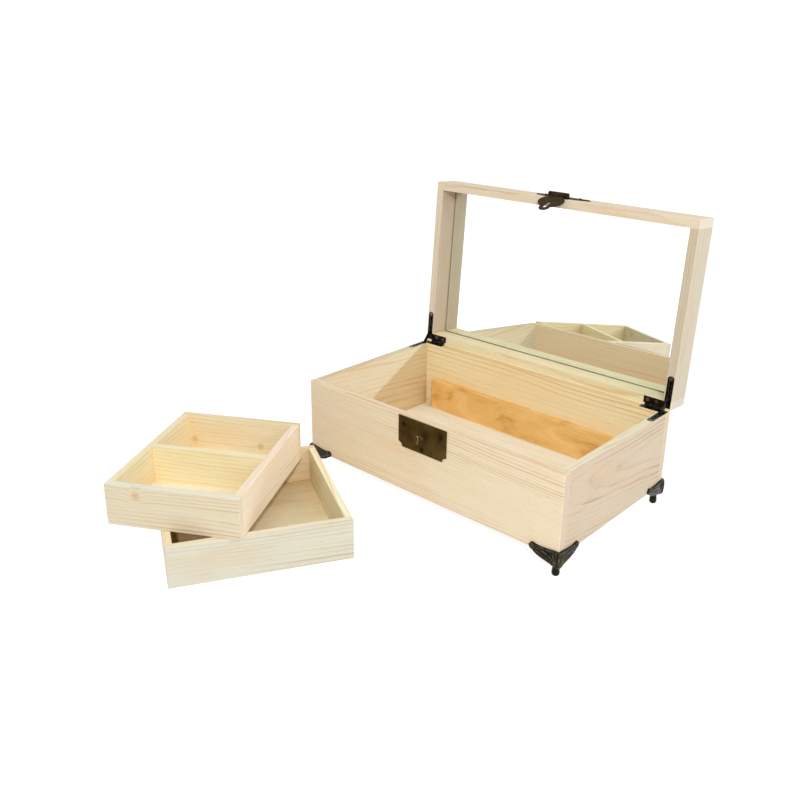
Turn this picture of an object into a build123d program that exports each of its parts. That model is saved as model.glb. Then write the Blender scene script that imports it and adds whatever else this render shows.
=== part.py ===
"""Pine vanity box with a mirror in its lid and two lift-out trays.

Sizes are in millimetres. Each body is drawn in its assembled place: the box about the centre of its
underside, the lid closed on it, the hasp tongue hanging, each tray about its own underside. At the
end every body is set to its rest pose (lid open on its stays, trays on the table beside the box) and
the whole set stands on the plane z = 0, centred on the origin. X runs along the box, Y from front to
back, Z up.
"""
from build123d import *
from math import atan2, cos, degrees, radians, sin, sqrt
import os

# ---------------------------------------------------------------- driving dimensions: woodwork
box_length = 280.0          # outside, along X
box_depth = 166.0           # outside, front to back
box_height = 71.0           # the four boards of the box
board = 8.0                 # thickness of the boards of box and lid
lid_recess = 20.0           # from the lid's rim to the face of the mirror
mirror_thickness = 2.0
lid_panel_thickness = 4.0
floor_thickness = 3.0       # plywood floors of the box and the trays
rebate = 3.0                # how far a floor or lid panel reaches into its boards
edge_ease = 0.6             # sanded round on the outer edges
rim_gap = 0.3               # between the rims of box and lid when closed
mirror_play = 0.5           # between the mirror's edge and the boards

ledge_thickness = 6.0       # strips that carry the trays
ledge_height = 32.0
ledge_end_gap = 13.0        # from a side board to the end of a ledge

tray_height = 35.0
tray_board = 6.0
tray_rebate = 2.5
tray_play = 3.5             # between a tray and the front or back board
large_tray_width = 145.0
small_tray_width = 110.0

# ---------------------------------------------------------------- driving dimensions: rest pose
lid_open_angle = 94.2
large_tray_right = 47.6     # tray centres from the box's front left corner
large_tray_forward = 115.1
large_tray_turn = 60.5
small_tray_right = 23.0
small_tray_forward = 133.4
small_tray_turn = 30.3

# ---------------------------------------------------------------- driving dimensions: corner feet
foot_drop = 18.0            # from the wood to the table
foot_overlap = 5.6          # how far the foot's corner climbs the wood
foot_wing = 23.8            # along each face
foot_plate = 1.6            # thickness of the metal on the wood
foot_lobe_reach = 2.9       # round end of a wing beyond its length
foot_lobe_height = 5.4      # its top above the wood's lower edge
foot_lobe_below = 0.7       # and its foot below that edge
foot_wing_return = 0.8      # how far a wing reaches back under the wood
foot_inset = 4.0            # the foot's point from each outer face
foot_neck_radius = 2.7
foot_bulb_radius = 3.1
foot_pad_radius = 1.8
foot_body_height = 8.5
foot_body_radius = 6.5
foot_flange_length = 21.0
foot_flange_width = 4.8
foot_flange_thickness = 1.5
foot_screw_reach = 17.0     # from the corner to a screw, along the flange
foot_screw_inset = 2.9

# ---------------------------------------------------------------- driving dimensions: hinges
leaf_thickness = 1.0
leaf_margin = 0.75          # from the wood's side to the side leg
leaf_back_margin = 1.65     # from the wood's back face to the back leg
leg_width = 6.2
back_leg = 25.5             # leg along the back board
side_leg = 31.0             # leg along the side board, measured from the hinge axis
axis_behind = 0.0           # hinge axis behind the box's back face
knuckle_radius = 1.6
knuckle_clearance = 0.4     # wood notch around the barrel
hinge_pin_radius = 0.8
hinge_pin_end = 0.3         # pin beyond each end of the barrel
running_clearance = 0.05    # radial, at every pin
barrel_start = 8.0          # from the box's side to the barrel
barrel_length = 16.0
knuckle_gap = 0.2

# stay: an arm on a rivet in the lower leaf, its stud in a slot of the upper leaf
stay_reach = 9.0            # rivet in front of the hinge axis
stay_depth = 1.45           # rivet below the hinge axis
stay_radius = 15.0          # rivet to stud
stay_thickness = 1.2
stay_half_width = 1.5
stay_rivet_radius = 0.7
stay_slot_width = 2.4
stay_ear_width = 0.8
stay_ear_length = 3.2
stay_ear_margin = 0.6       # metal of an ear below the rivet
stay_play = 0.2             # beside the ears, and at each end of the stud
stay_groove_depth = 3.6     # in the wood under either leaf
stay_slot_start = 5.0       # from the hinge axis, lower leaf
upper_slot_start = 6.8      # from the hinge axis, upper leaf
stay_slot_end = 26.3

back_leg_screw_spacing = 8.5
back_leg_screw_end = 4.0    # from the end of the back leg to its last screw

screw_shank_radius = 0.8
screw_head_radius = 1.6
screw_head_height = 0.9
screw_length = 7.0
screw_sink = 0.05           # screw heads below the leaf's face

# ---------------------------------------------------------------- driving dimensions: lock and hasp
lock_plate_width = 53.0
lock_plate_height = 29.0
lock_plate_notch = 4.2      # concave bottom corners
plate_thickness = 1.0
knob_drop = 14.0            # knob axis below the box's rim
knob_collar_radius = 1.9
knob_collar_height = 1.0
knob_stem_radius = 1.1
knob_stem_length = 4.0      # from the lock plate to the head
knob_head_length = 8.0
knob_head_width = 2.6
knob_head_thickness = 2.4
knob_head_round = 0.6
collar_gap = 0.1            # between the collar and the lock plate
knob_root = 5.0             # how far the stem goes into the board

hasp_span = 58.0            # tip to tip
hasp_body_half_width = 10.0
hasp_body_half_height = 6.5
hasp_wing_half_height = 3.0     # at two thirds of the wing
hasp_rise = 13.0            # centre of the hasp plate above the lid's rim
hasp_pivot_rise = 5.5       # hasp hinge above the lid's rim
hasp_pivot_stand = 3.0      # hasp hinge in front of the lid's face
hasp_knuckle_radius = 2.6
hasp_pin_radius = 1.2
hasp_knuckle_length = 9.0   # the tongue's knuckle
tongue_half_width = 13.0
tongue_length = 29.0
tongue_shoulder = 6.6       # places along the tongue from its hinge
tongue_widest = 12.5
tongue_taper = 18.5
tongue_notch = 22.6         # where the narrow tip begins
tongue_notch_half_width = 4.8
tongue_slot_length = 11.0
tongue_slot_width = 3.6
tongue_droop = 24.0         # how far it falls past the lid's face when the lid is open

nail_head_radius = 1.3
nail_head_height = 0.7
nail_shank_radius = 0.6
nail_length = 5.0
lock_nail_side = 6.0        # from the plate's sides to its upper nails
lock_nail_top = 7.5         # from the box's rim to the upper nails
lock_nail_bottom = 3.5      # from the plate's lower edge to the middle nail
hasp_nail_reach = 18.5      # from the hasp's middle to the nails in its wings
hasp_nail_height = 3.0      # middle nail above the wings' centre line

# ---------------------------------------------------------------- worked-out places
half_length = box_length / 2
half_depth = box_depth / 2
inside_length = box_length - 2 * board
inside_depth = box_depth - 2 * board
lid_height = lid_recess + mirror_thickness + lid_panel_thickness
lid_base = box_height + rim_gap
axis_y = half_depth + axis_behind
axis_z = box_height + rim_gap / 2
tray_depth = inside_depth - 2 * tray_play
knob_z = box_height - knob_drop
hasp_pivot_y = -half_depth - hasp_pivot_stand
hasp_pivot_z = lid_base + hasp_pivot_rise
tongue_slot_centre = hasp_pivot_z - knob_z
stay_x = -half_length + leaf_margin + leg_width / 2

rim_plane = Plane.XY.offset(box_height)
hinge_plane = Plane.XY.offset(axis_z)
hinge_axis = Axis((0, axis_y, axis_z), (1, 0, 0))
hasp_axis = Axis((0, hasp_pivot_y, hasp_pivot_z), (1, 0, 0))
BOTTOM = (Align.CENTER, Align.CENTER, Align.MIN)
TOP = (Align.CENTER, Align.CENTER, Align.MAX)


def stud_distance(opening):
    """Distance of the stay's stud from the hinge axis with the lid open by this many degrees."""
    along = stay_reach * cos(radians(opening)) - stay_depth * sin(radians(opening))
    return along + sqrt(along**2 + stay_radius**2 - stay_reach**2 - stay_depth**2)


def stay_angle(opening):
    """The stay arm's angle above the forward direction, in degrees."""
    reach = stud_distance(opening)
    forward = reach * cos(radians(opening)) - stay_reach
    up = reach * sin(radians(opening)) + stay_depth
    return degrees(atan2(up, forward))


stay_closed_angle = stay_angle(0)
stay_open_angle = stay_angle(lid_open_angle)
stay_turn = stay_open_angle - stay_closed_angle


# ---------------------------------------------------------------- wooden frames
def hinge_edges(piece):
    """Edges that box and lid turn on: these are left sharp, so that the open lid meets the box."""
    along = piece.edges().filter_by(Axis.X)
    return along.filter_by(
        lambda edge: abs(edge.center().Y - half_depth) < rim_gap
        and box_height <= edge.center().Z <= lid_base)


def long_board(length, depth, height, thickness, base, side, cuts=()):
    """Board across the full length of a frame; side is -1 for the front, 1 for the back."""
    with BuildPart() as piece:
        with Locations((0, side * (depth - thickness) / 2, base)):
            Box(length, thickness, height, align=BOTTOM)
        inner_face = piece.faces().sort_by(Axis.Y)[0 if side > 0 else -1]
        eased = piece.edges() - inner_face.edges()
        if side > 0:
            eased = eased - hinge_edges(piece)
        fillet(eased, edge_ease)
        for cut in cuts:
            add(cut, mode=Mode.SUBTRACT)
    return piece.part


def short_board(length, depth, height, thickness, base, side, cuts=()):
    """Board between the two long ones; side is -1 for the left, 1 for the right."""
    with BuildPart() as piece:
        with Locations((side * (length - thickness) / 2, 0, base)):
            Box(thickness, depth - 2 * thickness, height, align=BOTTOM)
        outer_face = piece.faces().sort_by(Axis.X)[-1 if side > 0 else 0]
        fillet(outer_face.edges().filter_by(Axis.Y), edge_ease)
        for cut in cuts:
            add(cut, mode=Mode.SUBTRACT)
    return piece.part


def frame_boards(name, length, depth, height, thickness, base, cuts=()):
    """The four butt-jointed boards of a frame, keyed by their names."""
    size = (length, depth, height, thickness, base)
    return {
        f"{name}_front_board": long_board(*size, -1, cuts),
        f"{name}_back_board": long_board(*size, 1, cuts),
        f"{name}_left_board": short_board(*size, -1, cuts),
        f"{name}_right_board": short_board(*size, 1, cuts),
    }


def panel(length, depth, thickness, base):
    """Flat sheet centred over the origin, its underside at the height base."""
    with BuildPart(Plane.XY.offset(base)) as piece:
        Box(length, depth, thickness, align=BOTTOM)
    return piece.part


# ---------------------------------------------------------------- hinge, drawn for the box's left side
def leaf_outline():
    """L-shaped outline of a hinge leaf, as a face on the box's left rim."""
    side_x = -half_length + leaf_margin
    back_y = half_depth - leaf_back_margin
    leg_front = axis_y - side_leg
    with BuildSketch(rim_plane) as outline:
        with BuildLine():
            Polyline(
                (side_x, back_y),
                (side_x + back_leg, back_y),
                (side_x + back_leg, back_y - leg_width),
                (side_x + leg_width, back_y - leg_width),
                (side_x + leg_width, leg_front),
                (side_x, leg_front),
                close=True,
            )
        make_face()
        side_leg_end = outline.vertices().group_by(Axis.Y)[0]
        back_leg_end = outline.vertices().group_by(Axis.X)[-1]
        fillet(side_leg_end, leg_width * 0.45)
        fillet(back_leg_end, leg_width * 0.2)
    return outline.sketch


def side_slot(start, width):
    """Slot along the side leg, starting this far in front of the hinge axis, as a face on the rim."""
    length = stay_slot_end - start
    with BuildSketch(rim_plane) as slot:
        with Locations((stay_x, axis_y - start - length / 2)):
            SlotOverall(length, width, rotation=90)
    return slot.sketch


def leaf_screw_places():
    """Screw centres on the left leaf: two on the back leg, one at the end of the side leg."""
    back_leg_y = half_depth - leaf_back_margin - leg_width / 2
    leg_end_x = -half_length + leaf_margin + back_leg
    side_end_y = axis_y - (side_leg + stay_slot_end) / 2
    last_x = leg_end_x - back_leg_screw_end
    return [(last_x - back_leg_screw_spacing, back_leg_y), (last_x, back_leg_y), (stay_x, side_end_y)]


def knuckle(start, length, radius, bore=0.0):
    """Barrel segment on the hinge axis, starting a distance in from the box's left side."""
    with BuildPart(Plane((-half_length + start, axis_y, axis_z), z_dir=(1, 0, 0))) as segment:
        Cylinder(radius, length, align=BOTTOM)
        if bore:
            Cylinder(bore, length, align=BOTTOM, mode=Mode.SUBTRACT)
    return segment.part


segment_length = (barrel_length - 2 * knuckle_gap) / 3
segment_starts = [barrel_start + index * (segment_length + knuckle_gap) for index in range(3)]
pin_bore = hinge_pin_radius + running_clearance


def leaf(segments, slot_start, ears):
    """Hinge leaf set into the box's left rim, with its share of the barrel."""
    tab_length = axis_y - half_depth + leaf_back_margin
    with BuildPart() as piece:
        add(leaf_outline())
        extrude(amount=-leaf_thickness)
        for index in segments:
            segment_centre = -half_length + segment_starts[index] + segment_length / 2
            with Locations((segment_centre, axis_y - tab_length / 2, box_height)):
                Box(segment_length, tab_length, leaf_thickness, align=TOP)
        for index in segments:
            add(knuckle(segment_starts[index], segment_length, knuckle_radius))
        add(knuckle(0, 2 * barrel_length, pin_bore), mode=Mode.SUBTRACT)
        if ears:
            ear_offset = (stay_slot_width + stay_ear_width) / 2
            ear_drop = stay_depth + stay_rivet_radius + stay_ear_margin
            for side in (-1, 1):
                with Locations((stay_x + side * ear_offset, axis_y - stay_reach, box_height)):
                    Box(stay_ear_width, stay_ear_length, ear_drop, align=TOP)
        add(side_slot(slot_start, stay_slot_width))
        extrude(amount=-2 * leaf_thickness, mode=Mode.SUBTRACT)
        with Locations(*[(x, y, box_height) for x, y in leaf_screw_places()]):
            CounterSinkHole(screw_shank_radius + running_clearance,
                            screw_head_radius + running_clearance, leaf_thickness, 90)
        if ears:
            add(stay_rivet(running_clearance), mode=Mode.SUBTRACT)
    return piece.part


def stay_rivet(extra=0.0):
    """Rivet across the lower leaf's slot, the stay arm's pivot."""
    length = stay_slot_width + 2 * stay_ear_width
    centre = (stay_x - length / 2, axis_y - stay_reach, axis_z - stay_depth)
    with BuildPart(Plane(centre, z_dir=(1, 0, 0))) as rivet:
        Cylinder(stay_rivet_radius + extra, length, align=BOTTOM)
    return rivet.part


def stay_arm(angle):
    """Arm from the rivet to the stud, standing at an angle above the forward direction."""
    centre = (stay_x - stay_thickness / 2, axis_y - stay_reach, axis_z - stay_depth)
    towards_stud = (0, -cos(radians(angle)), sin(radians(angle)))
    arm_plane = Plane(centre, x_dir=towards_stud, z_dir=(1, 0, 0))
    with BuildPart(arm_plane) as arm:
        with BuildSketch(arm_plane):
            with Locations((stay_radius / 2, 0)):
                SlotCenterToCenter(stay_radius, 2 * stay_half_width)
            Circle(stay_rivet_radius + running_clearance, mode=Mode.SUBTRACT)
        extrude(amount=stay_thickness)
        stud_length = stay_slot_width - 2 * stay_play
        with Locations((stay_radius, 0, stay_thickness / 2)):
            Cylinder(stay_rivet_radius, stud_length)
    return arm.part


def leaf_hollow(slot_start, groove_depth):
    """All that the wood of the left rim gives up to one leaf, its barrel and the stay."""
    with BuildPart() as hollow:
        add(leaf_outline())
        extrude(amount=-leaf_thickness)
        add(side_slot(slot_start, stay_slot_width))
        extrude(amount=-groove_depth)
        add(knuckle(barrel_start - knuckle_clearance, barrel_length + 2 * knuckle_clearance,
                    knuckle_radius + knuckle_clearance))
        with Locations(*[(x, y, box_height) for x, y in leaf_screw_places()]):
            Cylinder(screw_shank_radius + running_clearance, screw_length, align=TOP)
    return hollow.part


def ear_pocket():
    """Pocket in the box's left side board for the lower leaf's ears."""
    width = stay_slot_width + 2 * stay_ear_width + stay_play
    with BuildPart() as pocket:
        with Locations((stay_x, axis_y - stay_reach, box_height)):
            Box(width, stay_ear_length + 2 * stay_play, stay_groove_depth, align=TOP)
    return pocket.part


def leaf_screws():
    """Countersunk screws of one leaf, heads just below its face."""
    head_z = box_height - screw_sink
    with BuildPart() as screws:
        for x, y in leaf_screw_places():
            with BuildSketch(Plane((x, y, 0), x_dir=(1, 0, 0), z_dir=(0, -1, 0))) as profile:
                with BuildLine():
                    Polyline(
                        (0, head_z),
                        (screw_head_radius, head_z),
                        (screw_shank_radius, head_z - screw_head_radius + screw_shank_radius),
                        (screw_shank_radius, box_height - screw_length),
                        (0, box_height - screw_length),
                        close=True,
                    )
                make_face()
            revolve(axis=Axis((x, y, 0), (0, 0, 1)))
    return screws.part


def both_sides(piece):
    """The left-hand piece and its mirror image on the right."""
    return piece, mirror(piece, about=Plane.YZ)


def on_lid(piece):
    """A piece drawn on the box's rim, turned over onto the rim of the closed lid."""
    return mirror(piece, about=hinge_plane)


lower_leaves = both_sides(leaf((0, 2), stay_slot_start, ears=True))
upper_leaves = [on_lid(piece) for piece in both_sides(leaf((1,), upper_slot_start, ears=False))]
stay_rivets = both_sides(stay_rivet())
stay_arms = both_sides(stay_arm(stay_open_angle))
hinge_pins = both_sides(knuckle(barrel_start - hinge_pin_end, barrel_length + 2 * hinge_pin_end, hinge_pin_radius))
box_screws = both_sides(leaf_screws())
lid_screws = [on_lid(piece) for piece in box_screws]
box_hollows = both_sides(leaf_hollow(stay_slot_start, stay_groove_depth)) + both_sides(ear_pocket())
lid_hollows = [on_lid(piece) for piece in both_sides(leaf_hollow(upper_slot_start, stay_groove_depth))]


# ---------------------------------------------------------------- corner feet
# A foot is drawn with the box's corner at the origin: its wings run along +X and +Y.
def foot_wings():
    """The two wings of a foot, on the outer faces of the wood and just under it."""
    front_face = Plane((0, 0, 0), x_dir=(1, 0, 0), z_dir=(0, -1, 0))
    with BuildPart() as wings:
        with BuildSketch(front_face):
            with BuildLine():
                top = Spline(
                    (-foot_plate, foot_overlap),
                    (foot_wing * 0.4, foot_overlap * 0.9),
                    (foot_wing * 0.8, foot_overlap * 0.8),
                    (foot_wing, foot_lobe_height),
                )
                lobe = ThreePointArc(
                    top @ 1,
                    (foot_wing + foot_lobe_reach, foot_lobe_height / 2),
                    (foot_wing, -foot_lobe_below),
                )
                under = Spline(
                    lobe @ 1,
                    (foot_wing * 0.85, -foot_body_height * 0.36),
                    (foot_wing * 0.5, -foot_body_height * 0.66),
                    (foot_wing * 0.24, -foot_body_height * 0.84),
                    (foot_inset * 0.6, -foot_body_height),
                )
                Polyline(under @ 1, (-foot_plate, -foot_body_height), top @ 0)
            make_face()
        extrude(amount=foot_plate)
        extrude(wings.faces().sort_by(Axis.Y)[-1], amount=foot_wing_return)
        mirror(about=Plane((0, 0, 0), z_dir=(1, -1, 0)))
        Box(2 * foot_wing, 2 * foot_wing, foot_overlap + 1,
            align=(Align.MIN, Align.MIN, Align.MIN), mode=Mode.SUBTRACT)
    return wings.part


def foot_body():
    """Tapering body between the wings, ending in the bulb that stands on the table."""
    with BuildPart() as body:
        with Locations((foot_inset, foot_inset, 0)):
            Cone(foot_neck_radius, foot_body_radius, foot_body_height, align=TOP)
        reach = foot_inset + foot_body_radius
        Box(2 * reach, 2 * reach, foot_body_height, mode=Mode.INTERSECT,
            align=(Align.MIN, Align.MIN, Align.MAX))
        with BuildSketch(Plane((foot_inset, foot_inset, 0), x_dir=(1, 0, 0), z_dir=(0, -1, 0))):
            with BuildLine():
                Polyline((0, -foot_drop), (0, -foot_body_height), (foot_neck_radius, -foot_body_height))
                bulb_z = -(foot_body_height + foot_drop) / 2
                Spline(
                    (foot_neck_radius, -foot_body_height),
                    (foot_bulb_radius, bulb_z),
                    (foot_pad_radius, -foot_drop),
                    tangents=[(0, -1), (-1, -0.3)],
                )
                Line((foot_pad_radius, -foot_drop), (0, -foot_drop))
            make_face()
        revolve(axis=Axis((foot_inset, foot_inset, 0), (0, 0, 1)))
    return body.part


foot_screw_places = [(foot_screw_reach, foot_screw_inset), (foot_screw_inset, foot_screw_reach)]


def corner_foot():
    """Cast foot: wings, body and a flange under each board with a screw hole."""
    with BuildPart() as foot:
        add(foot_wings())
        add(foot_body())
        for size in ((foot_flange_length, foot_flange_width), (foot_flange_width, foot_flange_length)):
            Box(*size, foot_flange_thickness, align=(Align.MIN, Align.MIN, Align.MAX))
        with Locations(*foot_screw_places):
            Cylinder(screw_shank_radius + running_clearance, 2 * foot_flange_thickness,
                     mode=Mode.SUBTRACT)
    return foot.part


def foot_screws():
    """The two round-headed screws of a foot, driven up into the boards."""
    with BuildPart(Plane.XY.offset(-foot_flange_thickness)) as screws:
        with Locations(*foot_screw_places):
            Cylinder(screw_head_radius, screw_head_height, align=TOP)
            Cylinder(screw_shank_radius, screw_length, align=BOTTOM)
    return screws.part


def foot_screw_holes():
    """Holes in the wood for a foot's screws."""
    with BuildPart() as holes:
        with Locations(*foot_screw_places):
            Cylinder(screw_shank_radius + running_clearance, screw_length, align=BOTTOM)
    return holes.part


def four_corners(piece):
    """A piece drawn at the origin's corner, copied to the box's four corners."""
    front_left = Location((-half_length, -half_depth, 0)) * piece
    back_left = mirror(front_left, about=Plane.XZ)
    return {
        "front_left": front_left,
        "front_right": mirror(front_left, about=Plane.YZ),
        "back_left": back_left,
        "back_right": mirror(back_left, about=Plane.YZ),
    }


# ---------------------------------------------------------------- lock plate and turn knob
front_plane = Plane((0, -half_depth, 0), x_dir=(1, 0, 0), z_dir=(0, -1, 0))
lock_nail_x = lock_plate_width / 2 - lock_nail_side
lock_nail_z = box_height - lock_nail_top
lock_nail_places = [
    (-lock_nail_x, lock_nail_z),
    (lock_nail_x, lock_nail_z),
    (0, box_height - lock_plate_height + lock_nail_bottom),
]
hasp_centre_z = lid_base + hasp_rise
hasp_nail_places = [
    (-hasp_nail_reach, hasp_centre_z),
    (hasp_nail_reach, hasp_centre_z),
    (0, hasp_centre_z + hasp_nail_height),
]


def nails(places):
    """Dome-headed nails through a plate on the front boards."""
    with BuildPart(front_plane) as group:
        with Locations(*[(x, z, plate_thickness) for x, z in places]):
            Cylinder(nail_shank_radius, nail_length + plate_thickness, align=TOP)
            Cylinder(nail_head_radius, nail_head_height, align=BOTTOM)
        fillet(group.faces().group_by(Axis.Y)[0].edges(), nail_head_height * 0.9)
    return group.part


def nail_holes(places):
    """Holes for nails through a plate and into the board behind it."""
    with BuildPart(front_plane) as holes:
        with Locations(*[(x, z, plate_thickness) for x, z in places]):
            Cylinder(nail_shank_radius + running_clearance, nail_length + plate_thickness, align=TOP)
    return holes.part


with BuildPart() as lock_plate:
    with BuildSketch(front_plane):
        plate_bottom = box_height - lock_plate_height
        with Locations((0, plate_bottom)):
            Rectangle(lock_plate_width, lock_plate_height, align=(Align.CENTER, Align.MIN))
        with Locations((-lock_plate_width / 2, plate_bottom), (lock_plate_width / 2, plate_bottom)):
            Circle(lock_plate_notch, mode=Mode.SUBTRACT)
        with Locations((0, knob_z)):
            Circle(knob_stem_radius + running_clearance, mode=Mode.SUBTRACT)
    extrude(amount=plate_thickness)
    add(nail_holes(lock_nail_places), mode=Mode.SUBTRACT)

knob_plane = Plane((0, -half_depth - plate_thickness, knob_z), x_dir=(1, 0, 0), z_dir=(0, -1, 0))
with BuildPart(knob_plane) as turn_knob:
    with Locations((0, 0, collar_gap)):
        Cylinder(knob_collar_radius, knob_collar_height, align=BOTTOM)
    Cylinder(knob_stem_radius, plate_thickness + knob_root, align=TOP)
    Cylinder(knob_stem_radius, knob_stem_length, align=BOTTOM)
    with BuildSketch(knob_plane.offset(knob_stem_length)):
        SlotOverall(knob_head_length, knob_head_width, rotation=90)
    extrude(amount=knob_head_thickness)
    fillet(turn_knob.faces().sort_by(Axis.Y)[0].edges(), knob_head_round)

with BuildPart() as knob_hole:
    with Locations(knob_plane):
        Cylinder(knob_stem_radius + running_clearance, plate_thickness + knob_root, align=TOP)


# ---------------------------------------------------------------- hasp on the lid's front board
hasp_plane = Plane((0, -half_depth, hasp_centre_z), x_dir=(1, 0, 0), z_dir=(0, -1, 0))
hasp_segment = hasp_body_half_width - hasp_knuckle_length / 2 - knuckle_gap


def hasp_cylinder(start, length, radius):
    """Cylinder on the axis of the hasp's own hinge, from x = start."""
    with BuildPart(Plane((start, hasp_pivot_y, hasp_pivot_z), z_dir=(1, 0, 0))) as piece:
        Cylinder(radius, length, align=BOTTOM)
    return piece.part


hasp_bore = hasp_cylinder(-hasp_body_half_width, 2 * hasp_body_half_width,
                          hasp_pin_radius + running_clearance)
knuckle_room = hasp_cylinder(-hasp_knuckle_length / 2 - knuckle_gap,
                             hasp_knuckle_length + 2 * knuckle_gap,
                             hasp_knuckle_radius + knuckle_clearance)

with BuildPart() as hasp_plate:
    crown = (0, hasp_body_half_height)
    crown_end = (hasp_body_half_width / 3, hasp_body_half_height)
    upper_shoulder = (hasp_body_half_width, hasp_wing_half_height * 1.1)
    wing_waist = hasp_span * 0.36
    wing_tip = (hasp_span / 2, 0)
    shoulder = (hasp_body_half_width, -hasp_body_half_height * 0.7)
    foot_corner = (hasp_body_half_width, hasp_pivot_z - hasp_centre_z)
    with BuildSketch(hasp_plane):
        with BuildLine():
            Line(crown, crown_end)
            Spline(crown_end, upper_shoulder, (wing_waist, hasp_wing_half_height), wing_tip)
            Spline(wing_tip, (wing_waist, -hasp_wing_half_height), shoulder)
            Polyline(shoulder, foot_corner, (0, foot_corner[1]), crown)
        make_face()
        mirror(about=Plane.YZ)
    extrude(amount=plate_thickness)
    for x in (-hasp_body_half_width, hasp_body_half_width - hasp_segment):
        with Locations((x, -half_depth, hasp_pivot_z)):
            Box(hasp_segment, hasp_pivot_stand, 2 * hasp_pin_radius,
                align=(Align.MIN, Align.MAX, Align.CENTER))
        add(hasp_cylinder(x, hasp_segment, hasp_knuckle_radius))
    add(knuckle_room, mode=Mode.SUBTRACT)
    add(hasp_bore, mode=Mode.SUBTRACT)
    add(nail_holes(hasp_nail_places), mode=Mode.SUBTRACT)

hasp_pin = hasp_cylinder(-hasp_body_half_width, 2 * hasp_body_half_width, hasp_pin_radius)

# the tongue hangs in the plane of its hinge; places along it are measured from the hinge
tongue_plane = Plane((0, hasp_pivot_y + plate_thickness / 2, hasp_pivot_z), x_dir=(1, 0, 0),
                     z_dir=(0, -1, 0))
with BuildPart() as hasp_tongue:
    neck = hasp_knuckle_length / 2
    neck_end = hasp_knuckle_radius + knuckle_clearance
    with BuildSketch(tongue_plane):
        with BuildLine():
            Polyline((0, 0), (neck, 0), (neck, -neck_end))
            leaf_edge = Spline((neck, -neck_end),
                               (tongue_half_width * 0.8, -tongue_shoulder),
                               (tongue_half_width, -tongue_widest),
                               (tongue_half_width * 0.82, -tongue_taper),
                               (tongue_notch_half_width, -tongue_notch))
            tip_length = tongue_length - tongue_notch
            tip_edge = ThreePointArc(leaf_edge @ 1,
                                     (tongue_notch_half_width, -tongue_notch - tip_length * 0.5),
                                     (tongue_notch_half_width / 4, -tongue_length))
            Polyline(tip_edge @ 1, (0, -tongue_length), (0, 0))
        make_face()
        mirror(about=Plane.YZ)
        with Locations((0, -tongue_slot_centre)):
            SlotOverall(tongue_slot_length, tongue_slot_width, rotation=90, mode=Mode.SUBTRACT)
    extrude(amount=plate_thickness)
    add(hasp_cylinder(-neck, hasp_knuckle_length, hasp_knuckle_radius))
    add(hasp_bore, mode=Mode.SUBTRACT)


# ---------------------------------------------------------------- box and lid
floor_space = panel(inside_length + 2 * rebate, inside_depth + 2 * rebate, floor_thickness, 0)
lid_panel_base = lid_base + lid_recess + mirror_thickness
lid_panel_space = panel(inside_length + 2 * rebate, inside_depth + 2 * rebate,
                        lid_panel_thickness, lid_panel_base)
corner_holes = list(four_corners(foot_screw_holes()).values())
box_cuts = [floor_space, knob_hole.part, nail_holes(lock_nail_places), *corner_holes, *box_hollows]
lid_cuts = [lid_panel_space, nail_holes(hasp_nail_places), *lid_hollows]


def ledge(side):
    """Strip against the front or back board that the trays rest on."""
    strip_y = side * (inside_depth - ledge_thickness) / 2
    with BuildPart() as strip:
        with Locations((0, strip_y, floor_thickness)):
            Box(inside_length - 2 * ledge_end_gap, ledge_thickness, ledge_height, align=BOTTOM)
        free_face = strip.faces().sort_by(Axis.Y)[0 if side > 0 else -1]
        fillet(free_face.edges().group_by(Axis.Z)[-1], edge_ease)
    return strip.part


sides = {"left": 0, "right": 1}
box_pieces = {
    **frame_boards("box", box_length, box_depth, box_height, board, 0, box_cuts),
    "box_bottom_panel": floor_space,
    "tray_ledge_front": ledge(-1),
    "tray_ledge_back": ledge(1),
    "lock_plate": lock_plate.part,
    "lock_plate_nails": nails(lock_nail_places),
    "foot_screws": Compound(list(four_corners(foot_screws()).values())),
}
for corner, foot in four_corners(corner_foot()).items():
    box_pieces[f"corner_foot_{corner}"] = foot

lid_pieces = {
    **frame_boards("lid", box_length, box_depth, lid_height, board, lid_base, lid_cuts),
    "lid_top_panel": lid_panel_space,
    "mirror": panel(inside_length - 2 * mirror_play, inside_depth - 2 * mirror_play,
                    mirror_thickness, lid_base + lid_recess),
    "hasp_plate": hasp_plate.part,
    "hasp_plate_nails": nails(hasp_nail_places),
}
for side, index in sides.items():
    box_pieces[f"hinge_{side}_lower_leaf"] = lower_leaves[index]
    box_pieces[f"hinge_{side}_lower_screws"] = box_screws[index]
    box_pieces[f"hinge_{side}_pin"] = hinge_pins[index]
    box_pieces[f"stay_{side}_rivet"] = stay_rivets[index]
    lid_pieces[f"hinge_{side}_upper_leaf"] = upper_leaves[index]
    lid_pieces[f"hinge_{side}_upper_screws"] = lid_screws[index]


# ---------------------------------------------------------------- trays, about their own undersides
def tray(name, width, dividers=0):
    """Lift-out tray: four boards, a plywood floor and any dividers across it."""
    inner_width = width - 2 * tray_board
    inner_depth = tray_depth - 2 * tray_board
    floor = panel(inner_width + 2 * tray_rebate, inner_depth + 2 * tray_rebate, floor_thickness, 0)
    pieces = frame_boards(name, width, tray_depth, tray_height, tray_board, 0, [floor])
    pieces[f"{name}_floor"] = floor
    for index in range(dividers):
        divider_y = inner_depth * ((index + 1) / (dividers + 1) - 0.5)
        with BuildPart() as divider:
            with Locations((0, divider_y, floor_thickness)):
                Box(inner_width, tray_board, tray_height - floor_thickness, align=BOTTOM)
        pieces[f"{name}_divider"] = divider.part
    return pieces


large_tray_pieces = tray("large_tray", large_tray_width)
small_tray_pieces = tray("small_tray", small_tray_width, dividers=1)


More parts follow.
